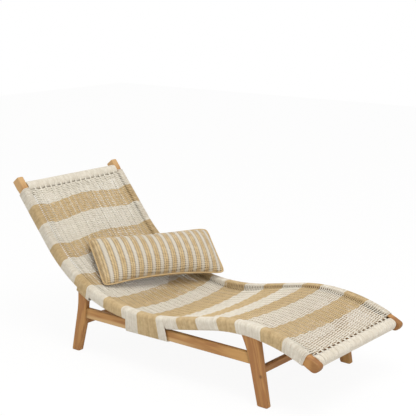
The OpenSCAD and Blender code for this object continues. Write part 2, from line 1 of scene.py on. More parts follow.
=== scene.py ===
import bpy
import numpy as np
from math import radians, sin, cos, pi
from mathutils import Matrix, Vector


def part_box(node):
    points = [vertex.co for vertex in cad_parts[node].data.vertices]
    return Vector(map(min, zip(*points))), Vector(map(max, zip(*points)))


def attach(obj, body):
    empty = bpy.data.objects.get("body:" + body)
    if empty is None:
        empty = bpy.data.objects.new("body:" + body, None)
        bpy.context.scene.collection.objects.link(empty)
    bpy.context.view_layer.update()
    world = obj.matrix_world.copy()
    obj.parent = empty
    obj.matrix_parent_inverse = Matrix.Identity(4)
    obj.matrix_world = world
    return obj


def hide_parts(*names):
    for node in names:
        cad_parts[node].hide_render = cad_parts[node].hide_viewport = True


# Sun lounger: curved teak rails, cord woven in wide stripes, a knitted lumbar cushion. Metres throughout.
# A table is a list of places along the rail, counted from the head end, each with its value.

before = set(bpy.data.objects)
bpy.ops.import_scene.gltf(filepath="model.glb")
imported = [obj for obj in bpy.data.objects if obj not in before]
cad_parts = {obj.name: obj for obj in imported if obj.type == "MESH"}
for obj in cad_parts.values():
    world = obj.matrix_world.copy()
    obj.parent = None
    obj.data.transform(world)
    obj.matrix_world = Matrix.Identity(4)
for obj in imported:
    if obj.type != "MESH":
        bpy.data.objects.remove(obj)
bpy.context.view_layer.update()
scene = bpy.context.scene
dice = np.random.default_rng(11)

rail = dict(
    start=(-0.828318, 0.741028),  # x and z of the centre line at the head end
    slope=51,                     # degrees, of the straight top of the back
    runs=[(0.34, 0), (0.45, 39.5), (0.37, 22.9), (0.2, 0), (0.529, -40.5)],  # length, turn
    shorter=0.008,                # cut off the last run
    width=0.652,                  # across both rails
    thick=0.033,
    depth=[(0, 0.045), (0.79, 0.041), (1.16, 0.041), (1.889, 0.047)],
    rounding=[(0.045, 0.0045), (0.06, 0.009), (1.815, 0.009), (1.835, 0.0065)],  # of the long edges
    underCord=0.009,              # rounding of the turns of cord
    headRounding=0.004,
    noseRounding=(0.012, 0.024),  # above and below
    splice=0.5,
)
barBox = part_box("head_bar")
middleY = (barBox[0].y + barBox[1].y) / 2
railY = (rail["width"] - rail["thick"]) / 2
innerFace = rail["width"] / 2 - rail["thick"]
railLength = sum(length for length, turn in rail["runs"]) - rail["shorter"]


# Geometry shared by all pieces

def unit(v):
    # Vectors brought to a length of one
    return v / np.maximum(np.linalg.norm(v, axis=-1, keepdims=True), 1e-12)


def alongRun(heading, rate, d):
    # x and z after d along a straight, or along an arc that turns at this rate
    if not rate:
        return d * cos(heading), d * sin(heading)
    turned = heading + rate * d
    return (np.sin(turned) - sin(heading)) / rate, (cos(heading) - np.cos(turned)) / rate


def railLine(s):
    # Straights and arcs joined end to end: x, z and heading at distance s from the head end
    s = np.asarray(s, float)
    x, z, h = np.zeros_like(s), np.zeros_like(s), np.zeros_like(s)
    (px, pz), heading, done = rail["start"], -radians(rail["slope"]), 0.0
    for length, turn in rail["runs"]:
        rate, d = radians(turn) / length, s - done
        here = (d >= 0) | (done == 0)
        dx, dz = alongRun(heading, rate, d)
        x, z, h = np.where(here, px + dx, x), np.where(here, pz + dz, z), np.where(here, heading + rate * d, h)
        dx, dz = alongRun(heading, rate, length)
        px, pz, heading, done = px + dx, pz + dz, heading + radians(turn), done + length
    return x, z, h


def fromTable(table, s):
    # Value at s on the straight lines between the table's places
    return np.interp(s, [m[0] for m in table], [m[1] for m in table])


def railDepth(s):
    # Depth of the rail's section at s, from its table
    return fromTable(rail["depth"], s)


def onRail(s, y, n):
    # Point at s along the rail, y from the middle plane, n above the centre line
    x, z, h = railLine(s)
    return np.stack(np.broadcast_arrays(x - n * np.sin(h), middleY + y, z + n * np.cos(h)), -1)


def roundedRing(half, top, bottom, r, steps=5, hold=0.0006):
    # Rounded rectangle, anticlockwise, with a point on the flat just before and after each corner
    angle = np.linspace(0, pi / 2, steps + 1)
    right, up, low = half - r, top - r, bottom + r
    points = []
    for k, (cx, cy) in enumerate([(right, up), (-right, up), (-right, low), (right, low)]):
        a = angle + k * pi / 2
        start, end = k * pi / 2, (k + 1) * pi / 2
        arc = np.stack([cx + r * np.cos(a), cy + r * np.sin(a)], -1)
        before = arc[0] + hold * np.array([sin(start), -cos(start)])
        after = arc[-1] + hold * np.array([-sin(end), cos(end)])
        points.append(np.vstack([before, arc, after]))
    return np.vstack(points)


def gridFaces(rows, columns, closedRows=False, closedColumns=False):
    # A quad between each two neighbouring rows and columns; a closed direction ends where it starts
    i = np.arange(rows if closedRows else rows - 1)[:, None]
    j = np.arange(columns if closedColumns else columns - 1)[None, :]
    ii, jj = (i + 1) % rows, (j + 1) % columns
    corners = i * columns + j, ii * columns + j, ii * columns + jj, i * columns + jj
    return np.stack(np.broadcast_arrays(*corners), -1).reshape(-1, 4)


def newObject(name, data):
    # An object in the scene for a mesh, a lamp or a camera
    made = bpy.data.objects.new(name, data)
    scene.collection.objects.link(made)
    return made


def makePiece(name, points, faces, uv=None):
    # A smooth mesh, with a place on the cord or the cushion for each corner of its faces
    mesh = bpy.data.meshes.new(name)
    mesh.from_pydata(points.tolist(), [], faces)
    mesh.polygons.foreach_set("use_smooth", np.ones(len(faces), bool))
    if uv is not None:
        layer = mesh.uv_layers.new(name="alongCord")
        layer.data.foreach_set("uv", uv.astype(np.float32).ravel())
    mesh.update()
    return newObject(name, mesh)


def finishPiece(piece, body, slotName, material, *nodes):
    # The piece's material, the body that it rides on and the nodes that it stands for; the slot's name is not used
    piece.data.materials.clear()
    piece.data.materials.append(material)
    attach(piece, body)
    if nodes:
        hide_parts(*nodes)


def loft(name, rings, flip=False):
    # Skin through rings of equally many points, closed by a face at each end
    rows, columns = rings.shape[:2]
    faces = gridFaces(rows, columns, closedColumns=True)
    first, last = np.arange(columns), (rows - 1) * columns + np.arange(columns)[::-1]
    if flip:
        faces, first, last = faces[:, ::-1], first[::-1], last[::-1]
    return makePiece(name, rings.reshape(-1, 3), faces.tolist() + [first.tolist(), last.tolist()])


def sweepTubes(paths, ups, wide, high=None, sides=5, closed=False, level=None, dusk=1.0, crease=0.0):
    # Tubes along paths of equally many points: at each point an ellipse stands square to the path,
    # wide across it and high along the upward direction. Whole numbers in v tell the cords apart.
    # Where the level above the middle of the panel is given, points near that middle count as hollow;
    # on wound cord the sides are hollow by the crease, times a random share of its own for each few points;
    # the hollow sets how much painted shade the cord's colour takes there
    count, length = paths.shape[:2]
    before, after = np.roll(paths, 1, 1), np.roll(paths, -1, 1)
    if not closed:
        before[:, 0], after[:, -1] = paths[:, 0], paths[:, -1]
    along = unit(after - before)
    side = unit(np.cross(along, ups))
    up = np.cross(side, along)
    angle = 2 * pi * np.arange(sides) / sides
    wide = np.broadcast_to(wide, (count, length))[:, :, None, None]
    high = wide if high is None else np.broadcast_to(high, (count, length))[:, :, None, None]
    rings = paths[:, :, None] + wide * np.cos(angle)[:, None] * side[:, :, None]
    rings = rings + high * np.sin(angle)[:, None] * up[:, :, None]
    quads = gridFaces(length, sides, closed, True)
    faces = (np.arange(count)[:, None, None] * length * sides + quads).reshape(-1, 4)
    steps = np.linalg.norm(after - before, axis=-1) / 2
    far = np.concatenate([np.zeros((count, 1)), np.cumsum(steps, 1)], 1)
    i, j = np.divmod(np.arange(len(quads)), sides)
    number = dice.permutation(count)[:, None]
    u0, u1 = far[:, i], far[:, i + 1]
    v0, v1 = number + (j + 0.02) / sides, number + (j + 0.98) / sides   # never quite a whole number
    uv = np.stack([np.stack(corner, -1) for corner in ((u0, v0), (u1, v0), (u1, v1), (u0, v1))], 2)
    caps = []
    if not closed:
        start = np.arange(count)[:, None] * length * sides
        caps = (start + np.arange(sides)).tolist() + (start + length * sides - 1 - np.arange(sides)).tolist()
    own = np.repeat(dice.uniform(0, 1, (count, length // 4 + 1)), 4, axis=1)[:, :length, None]
    hollow = np.abs(np.cos(angle)) ** 6 * crease * own
    if level is not None:
        middle, fade = 0.0006, 0.0015   # quite hollow nearer than the first, not at all past both together
        depth = np.abs(level[:, :, None] + high[..., 0] * np.sin(angle))
        hollow = (1 - np.clip((depth - middle) / fade, 0, 1)) * np.broadcast_to(dusk, level.shape)[:, :, None]
    return rings.reshape(-1, 3), faces, uv.reshape(-1, 2), caps, hollow.ravel()


def makeCords(name, bundles):
    # Bundles of tubes in one mesh, with each corner's place on its cord and each point's hollow, its share of
    # painted shade
    points, faces, uv, caps, hollow = zip(*bundles)
    starts = np.cumsum([0] + [len(p) for p in points]).tolist()
    faces = np.concatenate([f + start for f, start in zip(faces, starts)]).tolist()
    caps = [[k + start for k in cap] for ends, start in zip(caps, starts) for cap in ends]
    uv = np.concatenate([*uv, np.zeros((sum(len(cap) for cap in caps), 2))])
    piece = makePiece(name, np.concatenate(points), faces + caps, uv)
    layer = piece.data.attributes.new("hollow", "FLOAT", "POINT")
    layer.data.foreach_set("value", np.concatenate(hollow).astype(np.float32))
    return piece


# Shader helpers

def maths(operation, swapped=False):
    # A method of Signal that adds one Math node
    def method(self, *others):
        values = (*others, self) if swapped else (self, *others)
        return self.shader.node("Math", {"operation": operation}, *values)
    return method


class Signal:
    # The output of a node; arithmetic on it adds Math nodes
    def __init__(self, shader, socket):
        self.shader, self.socket = shader, socket

    __add__, __radd__ = maths("ADD"), maths("ADD", True)
    __sub__, __rsub__ = maths("SUBTRACT"), maths("SUBTRACT", True)
    __mul__, __rmul__ = maths("MULTIPLY"), maths("MULTIPLY", True)
    __truediv__, __rtruediv__ = maths("DIVIDE"), maths("DIVIDE", True)
    __pow__, __rpow__ = maths("POWER"), maths("POWER", True)
    above, highest = maths("GREATER_THAN"), maths("MAXIMUM")
    abs, sine, fraction = maths("ABSOLUTE"), maths("SINE"), maths("FRACT")

    def between(self, low, high):
        # 0 below low, 1 above high, smooth in between
        return self.shader.node("MapRange", {"interpolation_type": "SMOOTHSTEP"}, self, low, high, 0, 1)

    def part(self, number):
        # x, y or z of a vector, as 0, 1 or 2
        return self.shader.node("SeparateXYZ", {}, self, output=number)

    def scaled(self, *factors):
        return self.shader.node("VectorMath", {"operation": "MULTIPLY"}, self, factors)


class Shader:
    # A material, or the world, and the nodes that colour it. A written colour goes into a socket as it is
    def __init__(self, name, world=False):
        self.owner = (bpy.data.worlds if world else bpy.data.materials).new(name)
        self.owner.use_nodes = True
        self.tree = self.owner.node_tree
        self.surface = self.tree.nodes["Background" if world else "Principled BSDF"]
        self.ending = self.tree.nodes["World Output" if world else "Material Output"]

    def node(self, kind, settings, *values, output=0, **named):
        made = self.tree.nodes.new("ShaderNode" + kind)
        for key, value in settings.items():
            setattr(made, key, value)
        for key, value in list(enumerate(values)) + list(named.items()):
            self.plug(made.inputs[key], value)
        return Signal(self, made.outputs[output])

    def plug(self, socket, value):
        if isinstance(value, Signal):
            self.tree.links.new(value.socket, socket)
        elif value is not None:
            socket.default_value = (*colour(value), 1) if isinstance(value, str) else value

    def place(self):
        return self.node("TexCoord", {}, output="Object")

    def noise(self, vector, scale, detail=3, roughness=0.5):
        return self.node("TexNoise", {}, Vector=vector, Scale=scale, Detail=detail, Roughness=roughness)

    def blend(self, amount, first, second):
        # Colours are the seventh and eighth sockets of a Mix node
        return self.node("Mix", {"data_type": "RGBA"}, amount, *[None] * 5, first, second, output=2)

    def finish(self, tone, roughness, bump=None, distance=0.0003, **constants):
        # Tone, roughness and bump may change over the surface; a constant is set on its own socket
        self.plug(self.surface.inputs["Base Color"], tone)
        self.plug(self.surface.inputs["Roughness"], roughness)
        if bump is not None:
            normal = self.node("Bump", {}, Strength=1, Distance=distance, Height=bump)
            self.plug(self.surface.inputs["Normal"], normal)
        for key, value in constants.items():
            self.surface.inputs[key.replace("_", " ")].default_value = value
        return self.owner

    def showWhite(self, kind, share):
        # The camera, mirrors and glass see white by this share; all other light meets the surface itself
        camera, mirror, glass = (self.node("LightPath", {}, output="Is %s Ray" % ray)
                                 for ray in ("Camera", "Glossy", "Transmission"))
        white = self.node(kind, {}, (1, 1, 1, 1), 1)
        own = Signal(self, self.surface.outputs[0])
        mixed = self.node("MixShader", {}, camera.highest(mirror).highest(glass) * share, own, white)
        self.plug(self.ending.inputs["Surface"], mixed)
        return self.owner


def colour(code):
    # Written colour to linear light
    parts = [int(code[i:i + 2], 16) / 255 for i in (1, 3, 5)]
    return tuple(c / 12.92 if c <= 0.04045 else ((c + 0.055) / 1.055) ** 2.4 for c in parts)


teakLook = dict(
    middle="#B1834C", dark="#99693C", light="#C49A60",
    pale="#C6A373",   # sapwood
    worn="#98855A",   # painted highlight on the rounded edges
    nose="#80552C",   # painted shade on the rails' front ends
    slot="#35240F",   # painted shade on the rails' inner faces, under the cord
    knot="#5A3B20",
    roughness=0.6, reflection=0.35,
    noseFade=(0.788, 0.812),                                  # along x
    coveredFrom=(-0.786, -0.78), coveredTo=(0.785, 0.795),   # along x, where the winding starts and ends
)


def teak(name, turn=(0, 0, 0), shift=(0, 0, 0), sapwood=None, worn=0.35, slots=False, knot=None):
    # Grain runs along X after the turn: long streaks, fine fibres, a painted highlight on the rounded edges. Sapwood
    # lies below a height and up to a place along x, each as a fade; slots put painted shade on the rails' inner
    # faces
    shader = Shader(name)
    place = shader.place()
    length, across, height = (place.part(k) for k in range(3))
    turned = shader.node("Mapping", {}, place, shift, turn)
    drift = shader.noise(turned.scaled(2.5, 9, 9), 1, 2)
    streak = shader.noise(turned.scaled(1.6, 22, 22), 1.7, 4, 0.6)
    fibre = shader.noise(turned.scaled(14, 420, 420), 1, 3, 0.7)
    rings = ((streak * 9 + drift * 6) * pi).sine() * 0.5 + 0.5
    wood = shader.blend((drift * 0.7 + rings * 0.3).between(0.25, 0.75), teakLook["dark"], teakLook["middle"])
    wood = shader.blend(drift.between(0.52, 0.72) * 0.75, wood, teakLook["light"])
    if sapwood:
        low, high, fromX, toX = sapwood
        band = (1 - (height + (drift - 0.5) * 0.02).between(low, high)) * (1 - length.between(fromX, toX))
        wood = shader.blend(band * 0.8, wood, teakLook["pale"])
    wood = shader.blend((fibre - 0.5).abs() * 0.5, wood, teakLook["dark"])
    # Painted shade on the rails' front ends, fading in along x
    wood = shader.blend(length.between(*teakLook["noseFade"]) * 0.62, wood, teakLook["nose"])
    if knot:
        away = shader.node("VectorMath", {"operation": "DISTANCE"}, place, knot, output=1)
        away = away + (drift - 0.5) * 0.004
        wood = shader.blend((1 - away.between(0.002, 0.011)) * 0.65, wood, teakLook["knot"])
    # Painted highlight in patches along the rounded long edges, where the normal leans half sideways
    sideways = shader.node("NewGeometry", {}, output="Normal").part(1)
    edge = (1 - (sideways * sideways * 2 - 1).abs()).between(0.35, 0.95)
    wood = shader.blend(edge * (drift * 1.4).between(0.4, 0.9) * worn, wood, teakLook["worn"])
    # Painted shade on the rails' inner faces where the winding covers them
    if slots:
        inside = 1 - (across - middleY).abs().between(innerFace + 0.0002, innerFace + 0.0012)
        covered = length.between(*teakLook["coveredFrom"]) * (1 - length.between(*teakLook["coveredTo"]))
        wood = shader.blend(inside * covered * 0.85, wood, teakLook["slot"])
    rough = drift * 0.15 + (teakLook["roughness"] - 0.08)
    return shader.finish(wood, rough, fibre * 0.6 + rings * 0.4, 0.00025, Specular_IOR_Level=teakLook["reflection"])


cordColours = dict(   # of a strand, between the strands (random darker tone, and painted shade in the braid's grooves) and painted shade in the hollows
    cream=("#E4DFD3", "#CBC4B4", "#966C30"),
    tan=("#D2BB90", "#B0966A", "#785524"),
    # painted shade: a dark brown for the cords under the foot seam's gaps
    oldTan=("#BE8F52", "#9C6E3B", "#7E5F36"),
    piping=("#D2BA8E", "#B09468", "#604A2C"),
)


def cordLook(kind, braidLength=0.0052):
    # Tight round braid that follows the cord, with a slightly different tone in each cord and patch,
    # painted shade in the braid's grooves and painted shade where a cord passes inside the weave
    strand, deep, crevice = cordColours[kind]
    shader = Shader(kind + "Cord")
    follow = shader.node("UVMap", {"uv_map": "alongCord"})
    along, around = follow.part(0) / braidLength, follow.part(1)
    number = around - around.fraction()
    own = shader.node("TexWhiteNoise", {"noise_dimensions": "1D"}, W=number * 0.731 + 0.21)
    braid = ((along + around) * (2 * pi)).sine() * ((along - around) * (2 * pi)).sine() * 0.5 + 0.5
    place = shader.place()
    patch = shader.noise(place, 55, 3, 0.6)
    lint = shader.noise(place, 900, 2, 0.6)
    tone = shader.blend((patch * 0.5 + lint * 0.42 + own * 0.08).between(0.3, 0.66), deep, strand)
    # Painted shade in the grooves between the braid's strands
    tone = shader.blend((1 - braid) * 0.35, tone, deep)
    # Painted shade in the hollows of the weave and between wound turns
    hollow = shader.node("Attribute", {"attribute_name": "hollow"}, output=2)
    tone = shader.blend(hollow * 0.85, tone, crevice)
    return shader.finish(tone, 0.85, braid * 0.7 + lint * 0.3, 0.0003, Sheen_Weight=0.15, Sheen_Roughness=0.5)


creamCord, tanCord = cordLook("cream"), cordLook("tan")
print("materials ready")


# Woods

leg = dict(
    thick=0.031, rounding=0.007, easedFoot=0.003,
    rearAt=0.617, frontAt=1.549,      # along the rail
    spreadFrom=0.17,                 # height from which a leg widens towards the rail
    rearFoot=(-0.0755, -0.0305),      # back and front edge at the floor, along x from the head of the leg
    rearBend=(0.215, 0.162),          # height of the bend in each edge
    rearRun=0.045, rearSlope=0.05,    # forward run up to the bend, slope above it
    rearSpread=0.007, frontSpread=0.017,
    frontFoot=(0.0395, 0.0895), frontHead=(-0.024, 0.041),
    knot=(0.571, 0.326, 0.1265),      # on a front leg's outer face
)
stretcher = dict(
    bottom=0.163, height=0.046, thick=0.024, rounding=0.005,
    crossMiddle=0.14, crossHeight=0.03, crossThick=0.023,
)
legY = (rail["width"] - leg["thick"]) / 2
betweenLegs = rail["width"] / 2 - leg["thick"]


def endCut(s, reach, fromNose):
    # How much a side of the section draws in towards an end rounded with this radius
    into = np.clip(s - railLength + reach if fromNose else reach - s, 0, reach)
    return reach - np.sqrt(reach ** 2 - into ** 2)


def railPiece(name, side, start, end):
    # Rounded sections square to the rail, one each 12 mm and closer together at the rounded ends
    pitch = 0.012
    ease = 1 - np.cos(np.linspace(0, pi / 2, 8))
    inner = np.arange(np.ceil(start / pitch), np.floor(end / pitch) + 1) * pitch
    first, last = np.array([start]), np.array([end])
    if start == 0:
        first = np.concatenate([rail["headRounding"] * ease, [0.02]])
    if end == railLength:
        last = railLength - rail["noseRounding"][1] * ease[::-1]
    s = np.concatenate([first, inner[(inner > first[-1] + 1e-3) & (inner < last[0] - 1e-3)], last])
    rings = []
    for here in s:
        head = endCut(here, rail["headRounding"], False)
        above, below = (head + endCut(here, reach, True) for reach in rail["noseRounding"])
        top, bottom = railDepth(here) / 2 - above, below - railDepth(here) / 2
        half = rail["thick"] / 2 - head * 0.7 - below * 0.12
        ring = roundedRing(half, top, bottom, min(fromTable(rail["rounding"], here), 0.48 * (top - bottom)))
        rings.append(onRail(here, side * railY + ring[:, 0], ring[:, 1]))
    return loft(name, np.array(rings), flip=True)


def eased(z, reach=0.03):
    # 0 below and z above, with a parabola between them over the reach on both sides
    return np.where(z < -reach, 0, np.where(z > reach, z, (z + reach) ** 2 / (4 * reach)))


def legHead(which):
    # x and z of the middle of the rail's underside over the leg
    s = leg[which + "At"]
    x, z, h = railLine(s)
    n = -railDepth(s) / 2
    return float(x - n * np.sin(h)), float(z + n * np.cos(h))


def legEdges(which, z):
    # Back and front edge of a leg at height z: a rear leg is bent, a front leg is straight
    x, top = legHead(which)
    spread = np.clip((z - leg["spreadFrom"]) / (top - leg["spreadFrom"]), 0, None) ** 2
    if which == "rear":
        slopes = [leg["rearRun"] / bend for bend in leg["rearBend"]]
        back, front = (x + foot + slope * z + (leg["rearSlope"] - slope) * eased(z - bend)
                       for foot, slope, bend in zip(leg["rearFoot"], slopes, leg["rearBend"]))
        return back, front + leg["rearSpread"] * spread
    share = z / top
    back, front = (x + foot * (1 - share) + head * share for foot, head in zip(leg["frontFoot"], leg["frontHead"]))
    return back - leg["frontSpread"] * spread, front


underS = np.linspace(0.4, 1.75, 600)
underX, underZ = (onRail(underS, 0, -railDepth(underS) / 2)[:, k] for k in (0, 2))


def legPiece(name, which, side):
    # Level rounded sections between the two edges, eased at the floor and cut off by the rail's underside
    foot = leg["easedFoot"]
    levels = np.concatenate([[0, foot / 2, foot], np.linspace(2 * foot, legHead(which)[1] + 0.03, 60)])
    rings = []
    for z in levels:
        inset = max(0.0, foot - z) * 0.7
        back, front = legEdges(which, np.array(z))
        half = leg["thick"] / 2 - inset
        ring = roundedRing((front - back) / 2 - inset, half, -half, leg["rounding"] - inset)
        x = (back + front) / 2 + ring[:, 0]
        height = np.minimum(z, np.interp(x, underX, underZ))
        rings.append(np.stack([x, middleY + side * legY + ring[:, 1], height], -1))
    return loft(name, np.array(rings))


def sideStretcher(name, side):
    # One rounded section carried from the rear leg's front edge to the front leg's back edge
    half = stretcher["height"] / 2
    ring = roundedRing(stretcher["thick"] / 2, half, -half, stretcher["rounding"])
    z = stretcher["bottom"] + half + ring[:, 1]
    y = middleY + side * (betweenLegs + stretcher["thick"] / 2) + ring[:, 0]
    start, end = legEdges("rear", z)[1], legEdges("front", z)[0]
    share = np.linspace(0, 1, 40)[:, None]
    x = start * (1 - share) + end * share
    return loft(name, np.stack(np.broadcast_arrays(x, y, z), -1), flip=True)


def crossStretcher(name, which):
    # One rounded section carried from leg to leg across the lounger
    back, front = legEdges(which, np.array(stretcher["crossMiddle"]))
    half = stretcher["crossHeight"] / 2
    ring = roundedRing(stretcher["crossThick"] / 2, half, -half, stretcher["rounding"])
    x, z = (back + front) / 2 + ring[:, 0], stretcher["crossMiddle"] + ring[:, 1]
    y = middleY + np.linspace(-betweenLegs, betweenLegs, 30)[:, None]
    return loft(name, np.stack(np.broadcast_arrays(x, y, z), -1))


def finishWood(piece, node, turn, shift, **look):
    # The grain's turn, in degrees, and its shift make each piece its own
    name = "teak" + piece.name[0].upper() + piece.name[1:]
    finishPiece(piece, "frame", "teak", teak(name, tuple(radians(t) for t in turn), shift, **look), node)


sides = {"left": 1, "right": -1}
for label, side in sides.items():
    knotX, knotY, knotZ = leg["knot"]
    finishWood(railPiece("backRail-" + label, side, 0, rail["splice"]), "back_rail_" + label,
               (0, -45, 0), (side * 0.3, 0.1 + side * 0.2, 0), sapwood=(2, 3, -0.8, -0.76), slots=True)
    finishWood(railPiece("seatRail-" + label, side, rail["splice"], railLength), "seat_rail_" + label,
               (0, -2, 0), (side * 0.2, side * 0.5, 0.3), slots=True)
    finishWood(legPiece("rearLeg-" + label, "rear", side), "rear_leg_" + label,
               (0, 82, 0), (0.4, side * 0.3, 0.2))
    finishWood(legPiece("frontLeg-" + label, "front", side), "front_leg_" + label,
               (0, 103, 0), (0.7, side * 0.4, 0.1), knot=(knotX, middleY + side * knotY, knotZ))
    finishWood(sideStretcher("sideStretcher-" + label, side), "side_stretcher_" + label,
               (0, 0, 0), (0.15, side * 0.2, 0.4), sapwood=(0.175, 0.187, 0.1, 0.35))
for which in ("rear", "front"):
    finishWood(crossStretcher(which + "CrossStretcher", which), which + "_cross_stretcher",
               (0, 0, 90), (0.2, 0.6, 0.1), worn=0.2)
for node in ("head_bar", "foot_bar", "splice_dowels"):
    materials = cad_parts[node].data.materials
    materials.clear()
    materials.append(teak("teak-" + node, (0, 0, radians(90)), (0.3, 0.1, 0.5), worn=0.0))
print("woods ready")


# Wound cord

bar = dict(width=0.036, rounding=0.012, headAt=0.05, footAt=1.844, headPad=0.0025)   # the pad lifts the head winding
cord = dict(
    radius=0.0024,
    clear=0.0005,       # of a winding from the wood
    layer=0.0055,       # a wound cord with its room
    wrapFrom=0.0605, wrapTo=1.814,
    slant=0.01,         # how far a turn runs forward on its way down
    apron=0.015,        # drop over the rear leg's head
    apronHalf=0.036,
    lashFrom=0.88, lashTo=1.098,
    railCrease=0.65, headCrease=0.45, footCrease=0.8,   # how dark the painted shade between neighbouring turns is
    headSlit=0.0008, footSlit=0.0026,                   # how far the turns of a bar part over a pair of warps
)
weave = dict(
    rowPitch=[(1.3, 0.0096), (1.47, 0.0102), (1.5, 0.0106), (1.598, 0.0106),
              (1.602, 0.009), (1.702, 0.009), (1.706, 0.0107)],   # a row is two cords
    warpPitch=0.0325,
    warpPairs=17,
    turnsPerWarp=7,     # turns on the end bars from one pair of warps to the next
    panelFrom=0.074, panelTo=1.82,
    headGap=0.0036, footGap=0.0012,   # between the end bars' winding and the rows
    edge=0.2953,        # half the width of the woven panel
    thick=0.009,
    sag=[(0.074, 0.008), (0.34, 0.012), (0.99, 0.048), (1.36, 0.026), (1.76, 0.026), (1.82, 0.008)],
    edgeDrop=[(0.074, 0), (0.16, 0.001), (0.5, 0.002), (0.72, 0.005), (0.85, 0.014),
              (0.95, 0.024), (1.06, 0.024), (1.2, 0.014), (1.42, 0.011), (1.65, 0.011),
              (1.72, 0.007), (1.78, 0.005), (1.82, 0.003)],   # of the panel down the rails' inner faces
    bow=[(0.074, 0), (0.16, 0.015), (0.45, 0.013), (0.7, 0.004), (0.85, 0)],
    skew=[(0.85, 0), (1.05, 0.005), (1.45, 0.005), (1.6, 0)],   # the left end of a row lies nearer the foot
    tan=[(0.155, 0.252), (0.366, 0.453), (0.555, 0.637), (0.746, 0.858),
         (0.948, 1.06), (1.176, 1.283), (1.392, 1.48), (1.6, 1.704)],   # stripes, from and to
    wave=0.0031,        # how far a weft stands above and below the middle
    spread=[(0.45, 0.0024), (0.62, 0.0027), (1.3, 0.0027), (1.45, 0.0024)],   # half the width of a weft over a warp
    middle=[(0.62, 0.0026), (0.8, 0.0026), (1.3, 0.0026), (1.45, 0.0025)],   # the same between two warps
    under=0.0034,       # the same beneath a warp, where cords press together
    dusk=[(0.45, 0.1), (0.8, 0.3), (1.3, 0.55), (1.5, 0.75)],   # how dark the painted shade in the hollows is
    tanDusk=0.6,        # share of it in tan
    lift=[(0.45, 0.003), (0.7, 0.001), (1.3, 0), (1.45, -0.001)],   # of a warp between two wefts
    lowerEdge=0.004,    # height above the rail's lower edge at which the lower cords end
    pulledHead=0.0016, pulledFoot=0.0052,   # most that a row draws back from a bar
)
cordRadius = cord["radius"]
onWood = cordRadius + cord["clear"]
warpPitch, warpPairs = weave["warpPitch"], weave["warpPairs"]


def finishCords(name, bundles, shade, material, *nodes):
    # Cords of the frame with their material; the slot's name made from their shade is not used
    finishPiece(makeCords(name, bundles), "frame", shade + "_cord", material, *nodes)


def isTan(s):
    # Whether a place lies in one of the tan stripes
    return np.any([(s > a) & (s < b) for a, b in weave["tan"]], axis=0)


def turnRing(half, top, bottom, r):
    # One turn round a rounded bar, as across and up, without points that fall together
    ring = roundedRing(half, top, bottom, r, 3, 0.0)
    return ring[np.r_[True, np.linalg.norm(np.diff(ring, axis=0), axis=1) > 1e-6]]


def railTurns(side, s, isFirst):
    # Each turn runs round the rail and forward on its way down; on the inner face the turns
    # gather in twos behind the cord that climbs there from the panel, so that slots stay open
    paths, ups = [], []
    for here, first in zip(s, isFirst):
        apart = fromTable(weave["rowPitch"], here) / 2
        half = railDepth(here) / 2 + onWood
        x, z, h = railLine(here)
        bottom = -half - (cord["apron"] if abs(here - leg["rearAt"]) < cord["apronHalf"] else 0)
        if cord["lashFrom"] < here < cord["lashTo"]:   # round rail and side stretcher together
            bottom = (stretcher["bottom"] - float(z)) / float(np.cos(h)) - onWood
        ring = turnRing(rail["thick"] / 2 + onWood, half, bottom, rail["underCord"] + onWood)
        down = np.clip((half - ring[:, 1]) / (2 * half), 0, 1)
        shift = cord["slant"] * down * np.clip((cord["wrapTo"] - here) / 0.08, 0, 1)   # none at the foot end
        wobble = dice.normal(0, 0.0003)
        gather = np.clip((-ring[:, 0] - rail["thick"] / 2 + 0.004) / 0.006, 0, 1) * (0 if first else -apart)
        paths.append(onRail(here + wobble + shift + gather, side * (railY + ring[:, 0]), ring[:, 1]))
        ups.append(np.broadcast_to([float(np.cos(h)), 0, float(np.sin(h))], paths[-1].shape))
    return np.array(paths), np.array(ups)


firstRow = weave["panelFrom"] + weave["headGap"] + 2 * cordRadius
lastRow = weave["panelTo"] - weave["footGap"] - 2 * cordRadius
rows = [firstRow]
while rows[-1] < lastRow:
    rows.append(rows[-1] + fromTable(weave["rowPitch"], rows[-1]))
rows = firstRow + (np.array(rows) - firstRow) * (lastRow - firstRow) / (rows[-1] - firstRow)
halfRow = np.gradient(rows) / 2


def rowPlace(number):
    # Place along the rails of a row counted from the head, also between rows and beyond the first and last one
    beyond = np.arange(1, 8)
    every = np.concatenate([rows[0] - 2 * halfRow[0] * beyond[::-1], rows, rows[-1] + 2 * halfRow[-1] * beyond])
    return np.interp(number, np.arange(len(every)) - len(beyond), every)


turnNumber = np.arange(-12, 2 * len(rows) + 12)
turnS = rowPlace((turnNumber - 0.5) / 2)
inside = (turnS > cord["wrapFrom"] + 0.001) & (turnS < cord["wrapTo"] - 0.001)
turnS, isFirst = turnS[inside], turnNumber[inside] % 2 == 0
shades = {"tan": tanCord, "cream": creamCord}
for label, side in sides.items():
    for shade, material in shades.items():
        chosen = isTan(turnS - side * fromTable(weave["skew"], turnS)) == (shade == "tan")
        paths, ups = railTurns(side, turnS[chosen], isFirst[chosen])
        radius = np.gradient(turnS)[chosen][:, None] / 2 * (1 + dice.normal(0, 0.015, (chosen.sum(), 1)))
        turns = sweepTubes(paths, ups, radius, closed=True, crease=cord["railCrease"])
        name = "%s_%s" % (shade, label)
        finishCords("railWinding-" + name.replace("_", "-"), [turns], shade, material, "rail_wrap_" + name)

